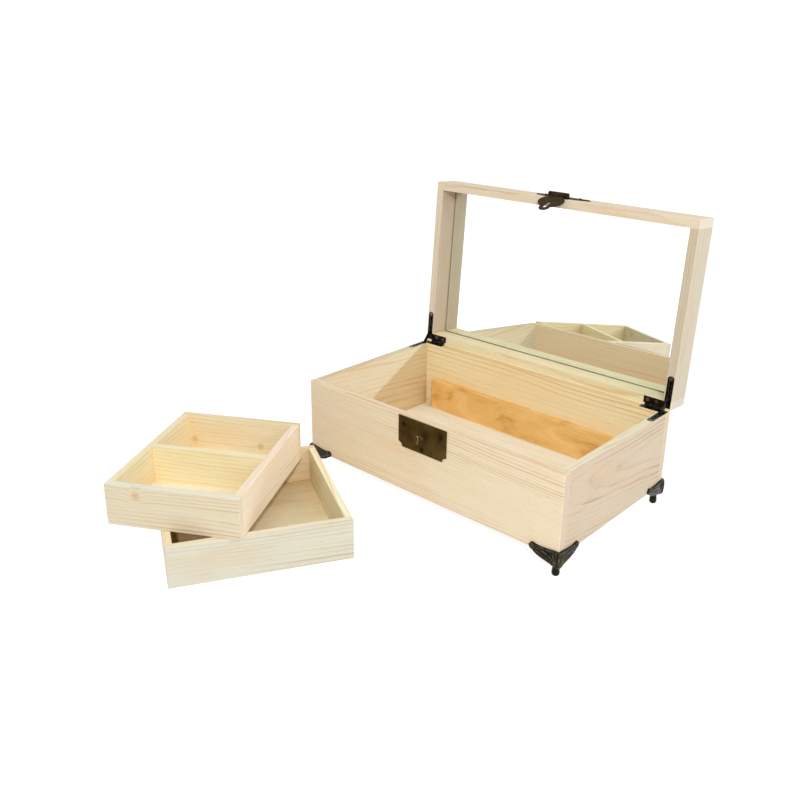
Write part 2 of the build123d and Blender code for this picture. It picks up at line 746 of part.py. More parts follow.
# ---------------------------------------------------------------- rest pose
def tray_place(right, forward, turn, height):
    """Where a tray rests, from the box's front left corner and from the table."""
    return Location((right - half_length, -forward - half_depth, height - foot_drop), (0, 0, turn))


def lid_opened(piece):
    return piece.rotate(hinge_axis, -lid_open_angle)


large_tray_place = tray_place(large_tray_right, large_tray_forward, large_tray_turn, 0)
small_tray_place = tray_place(small_tray_right, small_tray_forward, small_tray_turn, tray_height)

bodies = {
    "box": box_pieces,
    "lid": {name: lid_opened(piece) for name, piece in lid_pieces.items()},
    "stay_left": {"stay_arm_left": stay_arms[0]},
    "stay_right": {"stay_arm_right": stay_arms[1]},
    "hasp_pin": {"hasp_pin": lid_opened(hasp_pin)},
    "hasp_tongue": {"hasp_tongue": lid_opened(hasp_tongue.part.rotate(hasp_axis, tongue_droop))},
    "turn_knob": {"turn_knob": turn_knob.part},
    "tray_large": {name: large_tray_place * piece for name, piece in large_tray_pieces.items()},
    "tray_small": {name: small_tray_place * piece for name, piece in small_tray_pieces.items()},
}

extent = Compound([piece for body in bodies.values() for piece in body.values()]).bounding_box()
to_origin = Location((-extent.center().X, -extent.center().Y, -extent.min.Z))

os.makedirs("parts", exist_ok=True)
for body in bodies.values():
    for name, piece in body.items():
        body[name] = to_origin * piece
        body[name].label = name
        export_step(body[name], f"parts/{name}.step")
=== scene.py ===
"""Looks for the pine vanity box: materials, small details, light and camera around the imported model."""

import math

import bmesh
import bpy
from mathutils import Matrix, Vector

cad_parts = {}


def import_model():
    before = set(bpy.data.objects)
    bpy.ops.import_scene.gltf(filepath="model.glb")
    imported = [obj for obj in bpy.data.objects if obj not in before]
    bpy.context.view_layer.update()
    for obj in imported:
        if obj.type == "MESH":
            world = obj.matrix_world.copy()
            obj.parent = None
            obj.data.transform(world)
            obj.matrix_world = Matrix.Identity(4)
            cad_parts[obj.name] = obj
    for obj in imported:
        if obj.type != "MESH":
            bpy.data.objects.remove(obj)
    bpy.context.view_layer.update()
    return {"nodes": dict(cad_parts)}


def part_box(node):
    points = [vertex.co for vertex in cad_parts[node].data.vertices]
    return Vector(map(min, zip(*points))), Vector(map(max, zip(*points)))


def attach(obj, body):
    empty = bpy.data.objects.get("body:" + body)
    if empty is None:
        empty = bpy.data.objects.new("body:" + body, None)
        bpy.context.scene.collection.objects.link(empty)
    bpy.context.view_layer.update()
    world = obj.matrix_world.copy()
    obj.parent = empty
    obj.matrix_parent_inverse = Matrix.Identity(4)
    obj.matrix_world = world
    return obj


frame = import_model()

# ---------------------------------------------------------------- places taken from the frame
MM = 0.001
box_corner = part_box("box_front_board")[0]
box_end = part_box("box_back_board")[1]
box_middle = (box_corner + box_end) / 2
rim_z = box_end.z

# ---------------------------------------------------------------- driving values: turns at rest, in degrees
lid_open = 94.2
large_tray_turn = 60.5
small_tray_turn = 30.3

# ---------------------------------------------------------------- driving values: pieces and looks, in mm
hinge_leg_width = 6.2
stay_slot_width = 2.4
stay_slot_starts = {"box": 5.0, "lid": 6.8}     # in front of the hinge axis
stay_slot_end = 26.3                            # in front of the hinge axis
stay_slot_depth = 3.6
leaf_thickness = 1.0
lining_gap = 0.1
lining_thickness = 0.08
lining_arc_steps = 8                            # round either end of a slot

foot_plate = 1.6                                # thickness of a foot's wing
foot_wing = 23.8                                # length of a foot's wing
scroll_radius = 2.2                             # at its outer end
scroll_height = 2.7                             # of its middle, above the wood's lower edge
scroll_points = 15
scroll_start = 250                              # degrees, as is the turn from point to point
scroll_turn = -38
scroll_shrink = 18                              # points after which its radius would be nothing
bead_radius = 0.55

ring_drift = 12.0                               # how far the rings wander over a board
ring_ripple = 2.0                               # how far they wander over a few centimetres
nail_reach = 8.0                                # more than a nail's length, less than between nails
nail_ring_radii = (1.7, 2.7)                        # round a nail: full, and faded out
bare_edge = 0.5                                 # of the mirror
worn_and_glint_edge_radius = 0.35
# reach of the painted shade in deep corners and under other pieces
painted_shade_reach = 60.0

# ---------------------------------------------------------------- driving values: camera and lamps, metres
# Places are measured from the box's lower front left corner, angles are in degrees, the lens is in mm.
camera_from_corner = Vector((0.58238, -0.51330, 0.37340))
camera_azimuth = 42.408
camera_elevation = 20.588
camera_roll = 0.579
lens = 39.76
sensor = 36.0
lens_shift = -0.03927

world_level = 0.68                              # of the light that falls on the object
world_shown = 1.2                               # of the white that the camera and the mirror see
floor_lit = 0.82
floor_shown = 0.26                              # the part of the floor's white that takes the shadow
floor_glow = 0.90
floor_glow_in_mirror = 0.25                     # added to the floor's glow in mirror images
floor_size = 30.0
key_level = 0.40
key_from_corner = Vector((1.480, -1.280, 1.130))
key_size = 0.07
mirror_share = 1.3                              # of the key lamp's power
mirror_light = (0.92, 1.45, 2.35)               # colour of the light that the mirror throws back
fill_level = 0.20
fill_from_corner = Vector((1.500, 0.150, 0.950))
fill_size = 0.5


# ---------------------------------------------------------------- node helpers
def feed(tree, socket, value):
    """Link the value to the socket if it is a socket itself, or else set it there."""
    if isinstance(value, bpy.types.NodeSocket):
        tree.links.new(value, socket)
    else:
        socket.default_value = value


def node(tree, kind, inputs=(), **settings):
    """New shader node with its settings, and inputs given as numbers or as sockets to link."""
    made = tree.nodes.new(kind)
    for key, value in settings.items():
        setattr(made, key, value)
    for key, value in dict(inputs).items():
        feed(tree, made.inputs[key], value)
    return made


def linear(red, green, blue):
    """Linear colour from screen values: 255 is white, and a tone above 255 makes brighter."""
    def channel(value):
        value = value / 255
        return value / 12.92 if value <= 0.04045 else ((value + 0.055) / 1.055) ** 2.4
    return (channel(red), channel(green), channel(blue), 1.0)


def grey(value):
    """Linear grey: 0 is black, 1 is white."""
    return (value, value, value, 1.0)


def ramp(tree, factor, stops, interpolation="LINEAR"):
    """Colour that goes through these (position, colour) stops as the factor rises."""
    made = node(tree, "ShaderNodeValToRGB", {"Fac": factor})
    made.color_ramp.interpolation = interpolation
    elements = made.color_ramp.elements
    while len(elements) < len(stops):
        elements.new(1.0)
    for element, (position, colour) in zip(elements, stops):
        element.position = position
        element.color = colour
    return made.outputs["Color"]


def math_node(tree, operation, first, second=0.0):
    """Number that the operation gives for one or two numbers."""
    made = node(tree, "ShaderNodeMath", {0: first, 1: second}, operation=operation)
    return made.outputs["Value"]


def vector_node(tree, operation, first, second, output="Vector"):
    """Vector, or number for the output "Value", that the operation gives for two vectors."""
    made = node(tree, "ShaderNodeVectorMath", {0: first, 1: second}, operation=operation)
    return made.outputs[output]


def mapped(tree, value, source, target):
    """Value taken from the source range to the target range, and kept within it."""
    made = node(tree, "ShaderNodeMapRange", {
        "Value": value, "From Min": source[0], "From Max": source[1],
        "To Min": target[0], "To Max": target[1]})
    return made.outputs["Result"]


def noise(tree, vector, scale, detail=3.0, roughness=0.5, distortion=0.0, output=0):
    """Noise from 0 to 1 as output 0, as a colour of three separate noises as output 1."""
    made = node(tree, "ShaderNodeTexNoise", {
        "Vector": vector, "Scale": scale, "Detail": detail,
        "Roughness": roughness, "Distortion": distortion})
    return made.outputs[output]


def mix(tree, kind, factor, first, second):
    """Two colours blended, where a factor of 1 gives all of the second."""
    made = node(tree, "ShaderNodeMix", data_type="RGBA", blend_type=kind)
    for index, value in ((0, factor), (6, first), (7, second)):
        feed(tree, made.inputs[index], value)
    return made.outputs[2]


def empty_tree(owner):
    """Node tree of a material or a world, emptied."""
    owner.use_nodes = True
    owner.node_tree.nodes.clear()
    return owner.node_tree


def new_material(name):
    """Material with a plain Principled shader joined to its output."""
    material = bpy.data.materials.new(name)
    tree = empty_tree(material)
    shader = node(tree, "ShaderNodeBsdfPrincipled")
    node(tree, "ShaderNodeOutputMaterial", {"Surface": shader.outputs[0]})
    return material, tree, shader


def join(tree, shader, **inputs):
    """Link or set the shader's inputs, an underscore standing for a space in their names."""
    for key, value in inputs.items():
        feed(tree, shader.inputs[key.replace("_", " ")], value)


def dress(name, material):
    """Give a CAD node its material."""
    for slot in frame["nodes"][name].material_slots:
        slot.material = material


def placed(name, data):
    """New object in the scene with this mesh, curve, lamp or camera."""
    piece = bpy.data.objects.new(name, data)
    bpy.context.scene.collection.objects.link(piece)
    return piece


# ---------------------------------------------------------------- wood
def body_turn(name):
    """How a board's body is turned at rest."""
    if name.startswith("large_tray"):
        return Matrix.Rotation(math.radians(large_tray_turn), 3, "Z")
    if name.startswith("small_tray"):
        return Matrix.Rotation(math.radians(small_tray_turn), 3, "Z")
    if name.startswith("lid") or name == "mirror":
        return Matrix.Rotation(math.radians(-lid_open), 3, "X")
    return Matrix.Identity(3)


def board_axes(name):
    """Directions along the grain, across the face and through the thickness, as matrix rows."""
    if "left_board" in name or "right_board" in name:
        own = ((0, 1, 0), (0, 0, 1), (1, 0, 0))
    elif "floor" in name or "panel" in name or name == "mirror":
        own = ((1, 0, 0), (0, 1, 0), (0, 0, 1))
    else:
        own = ((1, 0, 0), (0, 0, 1), (0, -1, 0))
    turn = body_turn(name)
    return Matrix([turn @ Vector(axis) for axis in own])


def board_coordinates(tree, name, shift=(0, 0, 0), tilt=(0, 0)):
    """Coordinates in mm in the board: x along its grain, y across its face, z through it."""
    low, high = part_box(name)
    centre = (low + high) / 2
    lean = Matrix.Rotation(math.radians(tilt[0]), 3, "Z") @ Matrix.Rotation(math.radians(tilt[1]), 3, "Y")
    axes = lean @ board_axes(name)
    place = node(tree, "ShaderNodeTexCoord").outputs["Object"]
    offset = Vector(shift) - axes @ centre * 1000
    return node(tree, "ShaderNodeMapping", {
        "Vector": place, "Location": offset, "Rotation": axes.to_euler("XYZ"),
        "Scale": (1000, 1000, 1000)}, vector_type="POINT").outputs["Vector"]


def half_sizes(name):
    """Half the sizes of a CAD piece along its own axes, in mm."""
    axes = board_axes(name)
    places = [axes @ vertex.co * 1000 for vertex in frame["nodes"][name].data.vertices]
    return [(max(spot[way] for spot in places) - min(spot[way] for spot in places)) / 2 for way in range(3)]


def stretched(tree, vector, along, across):
    """Coordinates scaled along and across the grain: noise in them is drawn out along it."""
    return node(tree, "ShaderNodeMapping", {
        "Vector": vector, "Scale": (along, across, across)}, vector_type="POINT").outputs["Vector"]


def end_grain(tree, name):
    """1 on faces that cut across the grain, 0 along it."""
    normal = node(tree, "ShaderNodeTexCoord").outputs["Normal"]
    along = vector_node(tree, "DOT_PRODUCT", normal, board_axes(name)[0], "Value")
    return math_node(tree, "ABSOLUTE", along)


def facing(tree, way):
    """1 on faces turned this way, 0 on faces turned away from it."""
    normal = node(tree, "ShaderNodeTexCoord").outputs["Normal"]
    turned = vector_node(tree, "DOT_PRODUCT", normal, way, "Value")
    return ramp(tree, turned, [(0.8, grey(0.0)), (0.95, grey(1.0))])


def inner_face(tree, name):
    """1 on the face that a board turns to the inside of its box."""
    through = board_axes(name)[2]
    return facing(tree, -through if "right" in name or "front" in name else through)


def rim_face(tree, name):
    """1 on the edge of a board that makes the rim of its box, tray or lid."""
    up = board_axes(name)[1]
    return facing(tree, -up if name.startswith("lid") else up)


def shifted(tree, place, amount, strength):
    """Place pushed across the grain by a colour noise, up to about half the strength in mm."""
    centred = vector_node(tree, "SUBTRACT", amount, (0.5, 0.5, 0.5))
    push = vector_node(tree, "MULTIPLY", centred, (0, strength, strength))
    return vector_node(tree, "ADD", place, push)


def painted_cavity_shade(tree, depth=1.0):
    """Painted shade: a warm darkening of deep corners and of places under other pieces, as if the light had
    gone from wood to wood.
    """
    open_share = node(tree, "ShaderNodeAmbientOcclusion", {
        "Distance": painted_shade_reach * MM}, samples=8).outputs["AO"]
    return ramp(tree, open_share, [(0.02 * depth, (0.45, 0.25, 0.11, 1)),
                                   (0.14 * depth, (0.86, 0.74, 0.58, 1)), (0.3 * depth, grey(1.0))])


def year_rings(tree, name, place, seeded, ring, knots):
    """1 on the late wood of each ring, 0 on the early wood, and a mask of the knots' dark middles."""
    slow = noise(tree, stretched(tree, seeded, 0.006, 0.02), 1.0, 1.0, 0.5, output=1)
    ripple = noise(tree, stretched(tree, seeded, 0.020, 0.12), 1.0, 2.0, 0.5, output=1)
    rings_from = shifted(tree, place, slow, ring_drift)
    rings_from = shifted(tree, rings_from, ripple, ring_ripple)
    knot_mask = None
    for x, y, size in knots:
        knot_mask, rings_from = knot(tree, name, rings_from, knot_mask, x, y, size)
    # The wave texture draws a ring every 2 pi / 20 of its scaled coordinates.
    rings = node(tree, "ShaderNodeTexWave", {
        "Vector": rings_from, "Scale": 2 * math.pi / (20 * ring), "Distortion": 0.0},
        wave_type="RINGS", rings_direction="X", wave_profile="SAW").outputs["Fac"]
    line = ramp(tree, rings, [(0.0, grey(0.0)), (0.45, grey(0.08)), (0.76, grey(0.5)),
                              (0.90, grey(1.0)), (1.0, grey(0.0))])
    return line, knot_mask


def ring_strength(tree, seeded, contrast):
    """How strongly the rings show, which changes from year to year and from place to place."""
    year = noise(tree, stretched(tree, seeded, 0.004, 0.22), 1.0, 2.0, 0.7)
    strength = mapped(tree, year, (0.36, 0.64), (contrast * 0.12, contrast))
    calm = noise(tree, stretched(tree, seeded, 0.005, 0.035), 1.0, 1.0)
    return math_node(tree, "MULTIPLY", strength, mapped(tree, calm, (0.42, 0.58), (0.3, 1.0)))


def wood(name, early, late, pith, ring, seed, tilt=(0.4, 0.3), contrast=1.0, knots=(),
         ends=None, inside=None, rim=None):
    """Sawn softwood: rings round a pith beside the board, fibres and flecks along it.

    early and late are the colours of the two parts of a ring, pith its centre and ring its width in mm,
    and seed sets one board's noise apart from another's. tilt is the lean of the grain in degrees,
    contrast how strongly the rings show, knots their places and sizes in mm. ends is the colour of the
    end grain; inside and rim are painted light and shade, tones that make the face that the board turns
    inwards and its upper edge lighter or darker for the light that falls on them.
    """
    material, tree, shader = new_material("wood_" + name)
    place = board_coordinates(tree, name, (0, pith[0], pith[1]), tilt)
    seeded = vector_node(tree, "ADD", place, (seed * 37, seed * 11, seed * 5))
    line, knot_mask = year_rings(tree, name, place, seeded, ring, knots)
    dark = math_node(tree, "MULTIPLY", line, ring_strength(tree, seeded, contrast))
    colour = mix(tree, "MIX", dark, linear(*early), linear(*late))
    fibres = noise(tree, stretched(tree, seeded, 0.03, 0.9), 1.0, 4.0, 0.6)
    fibre_tone = ramp(tree, fibres, [(0.3, grey(0.93)), (0.7, grey(1.0))])
    colour = mix(tree, "MULTIPLY", 1.0, colour, fibre_tone)
    fleck = noise(tree, stretched(tree, seeded, 0.14, 1.5), 1.0, 1.0, 0.5)
    fleck_mask = ramp(tree, fleck, [(0.64, grey(0.0)), (0.74, grey(0.5))])
    colour = mix(tree, "MULTIPLY", fleck_mask, colour, (0.80, 0.66, 0.48, 1))
    patches = noise(tree, stretched(tree, seeded, 0.009, 0.03), 1.0, 2.0)
    patch_tone = ramp(tree, patches, [(0.33, (1.0, 0.935, 0.87, 1)), (0.5, grey(1.0)),
                                      (0.67, (0.98, 0.995, 0.955, 1))])
    colour = mix(tree, "MULTIPLY", 1.0, colour, patch_tone)
    if knot_mask:
        colour = mix(tree, "MIX", knot_mask, colour, linear(204, 160, 100))
    if ends:
        across = ramp(tree, end_grain(tree, name), [(0.8, grey(0.0)), (0.95, grey(0.85))])
        colour = mix(tree, "MIX", across, colour, linear(*ends))
    # Painted light and shade: the inner face made lighter or darker for the light that falls on it.
    if inside:
        colour = mix(tree, "MULTIPLY", inner_face(tree, name), colour, linear(*inside))
    # Painted light and shade: the upper edge made lighter or darker for the light that falls on it from
    # above.
    if rim:
        colour = mix(tree, "MULTIPLY", rim_face(tree, name), colour, linear(*rim))
    # Painted shade: deep corners and places under other pieces darkened to a warm brown.
    colour = mix(tree, "MULTIPLY", 1.0, colour, painted_cavity_shade(tree))
    rough = ramp(tree, fibres, [(0.3, grey(0.62)), (0.7, grey(0.52))])
    height = math_node(tree, "ADD", math_node(tree, "MULTIPLY", line, 0.5), fibres)
    bump = node(tree, "ShaderNodeBump", {
        "Strength": 0.12, "Distance": 0.0003, "Height": height}).outputs["Normal"]
    join(tree, shader, Base_Color=colour, Roughness=rough, Normal=bump, Specular_IOR_Level=0.35)
    return material


def knot(tree, name, place, mask, x, y, size):
    """A knot at x along and y across the face: rings bend round it and its middle is dark."""
    centre = board_coordinates(tree, name, (-x, -y, 0))
    flat = vector_node(tree, "MULTIPLY", centre, (0.9 / size, 0.8 / size, 0.0))
    distance = node(tree, "ShaderNodeVectorMath", {0: flat}, operation="LENGTH").outputs["Value"]
    near = ramp(tree, math_node(tree, "MULTIPLY", distance, 0.2),
                [(0.0, grey(1.0)), (0.2, grey(0.55)), (0.5, grey(0.12)), (0.9, grey(0.0))], "EASE")
    lifted = node(tree, "ShaderNodeVectorMath", {0: (0.0, size * 1.6, size * 1.6)}, operation="SCALE")
    tree.links.new(near, lifted.inputs["Scale"])
    bent = vector_node(tree, "ADD", place, lifted.outputs["Vector"])
    core = ramp(tree, math_node(tree, "MULTIPLY", distance, 0.5),
                [(0.0, grey(0.7)), (0.25, grey(0.5)), (0.6, grey(0.0))], "EASE")
    if mask:
        core = math_node(tree, "MAXIMUM", mask, core)
    return core, bent


def plywood(name, pale, dark, seed, depth=1.0):
    """Rotary-cut face veneer: broad soft bands with short fine pores along the grain."""
    material, tree, shader = new_material("plywood_" + name)
    place = board_coordinates(tree, name)
    seeded = vector_node(tree, "ADD", place, (seed * 31, seed * 17, 0))
    bands = noise(tree, stretched(tree, seeded, 0.008, 0.09), 1.0, 3.0, 0.55, 0.4)
    colour = ramp(tree, bands, [(0.32, dark), (0.5, pale), (0.62, dark), (0.75, pale)], "EASE")
    pores = noise(tree, stretched(tree, seeded, 0.12, 2.2), 1.0, 3.0, 0.6)
    pore_tone = ramp(tree, pores, [(0.33, grey(0.88)), (0.5, grey(1.0))])
    colour = mix(tree, "MULTIPLY", 1.0, colour, pore_tone)
    # Painted shade in deep corners and under other pieces; a larger depth spreads it further out.
    colour = mix(tree, "MULTIPLY", 1.0, colour, painted_cavity_shade(tree, depth))
    bump = node(tree, "ShaderNodeBump", {
        "Strength": 0.08, "Distance": 0.0002, "Height": pores}).outputs["Normal"]
    join(tree, shader, Base_Color=colour, Roughness=0.6, Normal=bump, Specular_IOR_Level=0.3)
    return material


def amber(name, seed):
    """Varnished strip, orange and cloudy, its grain only just showing."""
    material, tree, shader = new_material("amber_" + name)
    place = board_coordinates(tree, name)
    seeded = vector_node(tree, "ADD", place, (seed * 31, seed * 17, 0))
    clouds = noise(tree, stretched(tree, seeded, 0.022, 0.05), 1.0, 3.0, 0.55, 0.8)
    colour = ramp(tree, clouds, [(0.30, linear(206, 152, 80)), (0.45, linear(231, 184, 108)),
                                 (0.65, linear(240, 197, 130))], "EASE")
    grain = noise(tree, stretched(tree, seeded, 0.02, 0.8), 1.0, 3.0, 0.6)
    grain_tone = ramp(tree, grain, [(0.35, (0.95, 0.92, 0.86, 1)), (0.6, grey(1.0))])
    colour = mix(tree, "MULTIPLY", 1.0, colour, grain_tone)
    join(tree, shader, Base_Color=colour, Roughness=0.42, Specular_IOR_Level=0.5)
    return material


# ---------------------------------------------------------------- metal and glass
def bronze(name, dark, warm, worn_and_glint, roughness, patch_size=3.0, wear_and_glint=0.6, grazing=grey(1.0), nails=()):
    """Antiqued metal: a dark coat, mottled, rubbed through to paler metal along its edges; on the knob, the
    hinges and the feet these paler edges are also painted highlights.

    grazing tints what it reflects at a flat angle, and nails are places that have a darker ring round them.
    """
    material, tree, shader = new_material(name)
    place = node(tree, "ShaderNodeTexCoord").outputs["Object"]
    mottle = noise(tree, place, 1 / (patch_size * MM), 4.0, 0.6)
    colour = ramp(tree, mottle, [(0.35, dark), (0.68, warm)])
    rounded = node(tree, "ShaderNodeBevel", {"Radius": worn_and_glint_edge_radius * MM}, samples=6).outputs["Normal"]
    flat = node(tree, "ShaderNodeNewGeometry").outputs["Normal"]
    same = vector_node(tree, "DOT_PRODUCT", rounded, flat, "Value")
    edge = ramp(tree, same, [(0.90, grey(1.0)), (0.985, grey(0.0))])
    rub_and_glint = noise(tree, place, 420, 3.0, 0.6)
    rub_and_glint = ramp(tree, rub_and_glint, [(0.42, grey(0.0)), (0.62, grey(1.0))])
    mask = math_node(tree, "MULTIPLY", math_node(tree, "MULTIPLY", edge, rub_and_glint), wear_and_glint)
    colour = mix(tree, "MIX", mask, colour, worn_and_glint)
    full, faded = nail_ring_radii
    # A darker ring round each nail.
    for nail in nails:
        away = vector_node(tree, "DISTANCE", place, nail, "Value")
        away = math_node(tree, "DIVIDE", away, faded * MM)
        nail_ring = ramp(tree, away, [(full / faded, grey(0.9)), (1.0, grey(0.0))], "EASE")
        colour = mix(tree, "MIX", nail_ring, colour, linear(38, 22, 10))
    rough = mapped(tree, mottle, (0.3, 0.7), (roughness - 0.1, roughness + 0.12))
    fine = noise(tree, place, 1500, 2.0, 0.5)
    bump = node(tree, "ShaderNodeBump", {
        "Strength": 0.15, "Distance": 0.0001, "Height": fine}).outputs["Normal"]
    join(tree, shader, Base_Color=colour, Roughness=rough, Normal=bump, Metallic=0.85,
         Specular_Tint=grazing)
    return material


def nail_places(nails, plate):
    """Middles of the nails of a node, in the coordinates of the plate that they hold."""
    across = frame["nodes"][plate].matrix_world.inverted() @ frame["nodes"][nails].matrix_world
    groups = []
    for vertex in frame["nodes"][nails].data.vertices:
        spot = across @ vertex.co
        near = [group for group in groups if (group[0] - spot).length < nail_reach * MM]
        if near:
            near[0].append(spot)
        else:
            groups.append([spot])
    return [sum(group, Vector()) / len(group) for group in groups]


def mirror_glass():
    """Silvered glass, a little greenish, its bare edge dark against the lid."""
    material, tree, shader = new_material("mirror_glass")
    place = board_coordinates(tree, "mirror")
    apart = node(tree, "ShaderNodeSeparateXYZ", {"Vector": place})
    half_length, half_height = half_sizes("mirror")[:2]
    from_middle = [math_node(tree, "ABSOLUTE", apart.outputs[way]) for way in "XY"]
    at_end = math_node(tree, "GREATER_THAN", from_middle[0], half_length - bare_edge)
    at_side = math_node(tree, "GREATER_THAN", from_middle[1], half_height - bare_edge)
    bare = math_node(tree, "MAXIMUM", at_end, at_side)
    colour = mix(tree, "MIX", bare, (0.86, 0.915, 0.90, 1), linear(132, 130, 114))
    silver = math_node(tree, "SUBTRACT", 1.0, bare)
    haze = mapped(tree, noise(tree, place, 0.06, 3.0), (0.4, 0.7), (0.0, 0.008))
    rough = math_node(tree, "MAXIMUM", haze, math_node(tree, "MULTIPLY", bare, 0.5))
    join(tree, shader, Base_Color=colour, Metallic=silver, Roughness=rough)
    return material


# ---------------------------------------------------------------- colours of each board
boards = {
    # Painted light and shade: its inner face made lighter, its upper edge a little darker and warmer.
    "box_front_board": dict(
        early=(240, 223, 193), late=(211, 169, 121), pith=(167, -70), ring=2.6, seed=31,
        ends=(199, 181, 160), rim=(252, 245, 240), contrast=1.05, inside=(270, 265, 269)),
    # Painted shade: its upper edge made darker and warmer.
    "box_back_board": dict(
        early=(245, 229, 186), late=(217, 173, 112), pith=(27, -60), ring=3.2, seed=2,
        ends=(204, 184, 160), rim=(239, 227, 207)),
    # Painted shade: darker and more orange than the other box boards, for the warm shade inside the box.
    "box_left_board": dict(
        early=(206, 186, 147), late=(182, 137, 89), pith=(30, 45), ring=3.6, seed=3, tilt=(6, 1)),
    # Painted light and shade: darker than the other box boards to offset the fill lamp on this side, its
    # upper edge made lighter.
    "box_right_board": dict(
        early=(206, 191, 167), late=(178, 138, 106), pith=(-10, -28), ring=3.4, seed=4,
        tilt=(4, -4), rim=(292, 301, 300), contrast=1.3),
    "lid_front_board": dict(
        early=(229, 213, 187), late=(205, 163, 117), pith=(376, -30), ring=3.0, seed=5,
        ends=(215, 206, 186)),
    # Painted shade: its end grain made darker and greyer.
    "lid_back_board": dict(
        early=(240, 228, 188), late=(216, 178, 120), pith=(330, -50), ring=3.0, seed=6,
        ends=(202, 193, 182)),
    # Painted shade: its inner face made darker.
    "lid_left_board": dict(
        early=(227, 210, 187), late=(194, 156, 123), pith=(-40, 40), ring=3.0, seed=7,
        inside=(214, 211, 206)),
    "lid_right_board": dict(
        early=(204, 194, 173), late=(180, 155, 121), pith=(40, 50), ring=3.0, seed=8, contrast=0.6),
    "lid_top_panel": dict(
        early=(240, 226, 196), late=(216, 178, 128), pith=(20, 36), ring=4.5, seed=9),
    # Painted light: its upper edge made lighter.
    "large_tray_front_board": dict(
        early=(211, 207, 189), late=(183, 161, 126), pith=(75, -60), ring=3.2, seed=10,
        ends=(206, 192, 168), rim=(290, 284, 278)),
    "large_tray_back_board": dict(
        early=(238, 222, 190), late=(210, 168, 118), pith=(-15, -40), ring=3.2, seed=11),
    "large_tray_left_board": dict(
        early=(246, 230, 194), late=(220, 176, 124), pith=(-50, 40), ring=3.2, seed=12),
    # Painted light: paler than the tray's other boards, for its inner face, which lies in shade.
    "large_tray_right_board": dict(
        early=(252, 251, 217), late=(252, 191, 140), pith=(40, 50), ring=3.2, seed=13),
    # Painted light: its upper edge made lighter and bluer.
    "small_tray_front_board": dict(
        early=(221, 209, 182), late=(192, 160, 118), pith=(135, -30), ring=3.4, seed=14,
        knots=[(-29, 10, 3.6)], ends=(232, 220, 196), rim=(274, 286, 302)),
    "small_tray_back_board": dict(
        early=(238, 222, 186), late=(210, 168, 113), pith=(55, -40), ring=3.2, seed=15,
        knots=[(-44, -6, 3.0), (19, -7, 3.0)]),
    "small_tray_left_board": dict(
        early=(245, 232, 195), late=(219, 179, 123), pith=(-50, 40), ring=3.2, seed=16,
        contrast=0.65),
    # Painted light: paler than the tray's other boards, for a face turned from the key lamp.
    "small_tray_right_board": dict(
        early=(250, 234, 210), late=(218, 179, 138), pith=(50, 30), ring=3.2, seed=17),
    "small_tray_divider": dict(
        early=(246, 235, 193), late=(218, 179, 122), pith=(155, -50), ring=3.2, seed=18,
        contrast=0.6),
}


def dress_all():
    """Give every CAD node its material."""
    for name, looks in boards.items():
        dress(name, wood(name, **looks))
    dress("box_bottom_panel",
          plywood("box_bottom_panel", linear(246, 243, 226), linear(240, 234, 210), 1))
    # The large tray's floor has its painted shade spread further, under the small tray.
    dress("large_tray_floor",
          plywood("large_tray_floor", linear(251, 239, 203), linear(240, 226, 185), 2, depth=1.8))
    dress("small_tray_floor",
          plywood("small_tray_floor", linear(250, 243, 222), linear(247, 236, 208), 3))
    dress("tray_ledge_front", amber("tray_ledge_front", 1))
    dress("tray_ledge_back", amber("tray_ledge_back", 2))
    dress("mirror", mirror_glass())
    dress_metal()


def dress_metal():
    """Give each fitting the finish of the longest of these names that its own name starts with."""
    plate = bronze("plate_bronze", linear(70, 53, 24), linear(98, 78, 34), linear(165, 132, 76), 0.36,
                   patch_size=18, nails=nail_places("lock_plate_nails", "lock_plate"))
    # Painted highlight: the knob's near-white rubbed edges are partly wear, partly the glint on its side.
    knob = bronze("knob_bronze", linear(92, 78, 54), linear(140, 122, 88), linear(255, 244, 214), 0.20,
                  wear_and_glint=1.0)
    nail = bronze("nail_bronze", linear(30, 17, 8), linear(44, 27, 14), linear(70, 50, 30), 0.45,
                  grazing=(0.6, 0.42, 0.26, 1))
    # Painted highlight: the feet's pale rubbed edges are partly wear, partly specks of glint on the dark
    # metal.
    cast = bronze("cast_bronze", linear(15, 14, 11), linear(34, 31, 23), linear(160, 148, 114), 0.34,
                  wear_and_glint=0.9)
    # Painted highlight: the hinges' pale rubbed edges are partly wear, partly their glints.
    black = bronze("hinge_bronze", linear(16, 13, 11), linear(36, 30, 24), linear(150, 142, 124), 0.28,
                   wear_and_glint=0.8)
    tongue = bronze("tongue_bronze", linear(25, 20, 13), linear(64, 52, 36), linear(132, 116, 78), 0.40,
                    patch_size=4, grazing=(0.72, 0.62, 0.48, 1))
    # Painted highlight: the hinge screws are paler than the hinges, for the glints on their heads.
    screw = bronze("screw_bronze", linear(52, 46, 36), linear(110, 100, 80), linear(228, 218, 190), 0.25)
    finishes = {"hinge": black, "stay": black, "corner_foot": cast, "foot_screws": nail,
                "lock_plate": plate, "lock_plate_nails": nail, "hasp": tongue, "hasp_plate_nails": nail,
                "turn_knob": knob}
    for name in frame["nodes"]:
        fitting = [start for start in finishes if name.startswith(start)]
        if name.startswith("hinge") and name.endswith("screws"):
            dress(name, screw)
        elif fitting:
            dress(name, finishes[max(fitting, key=len)])


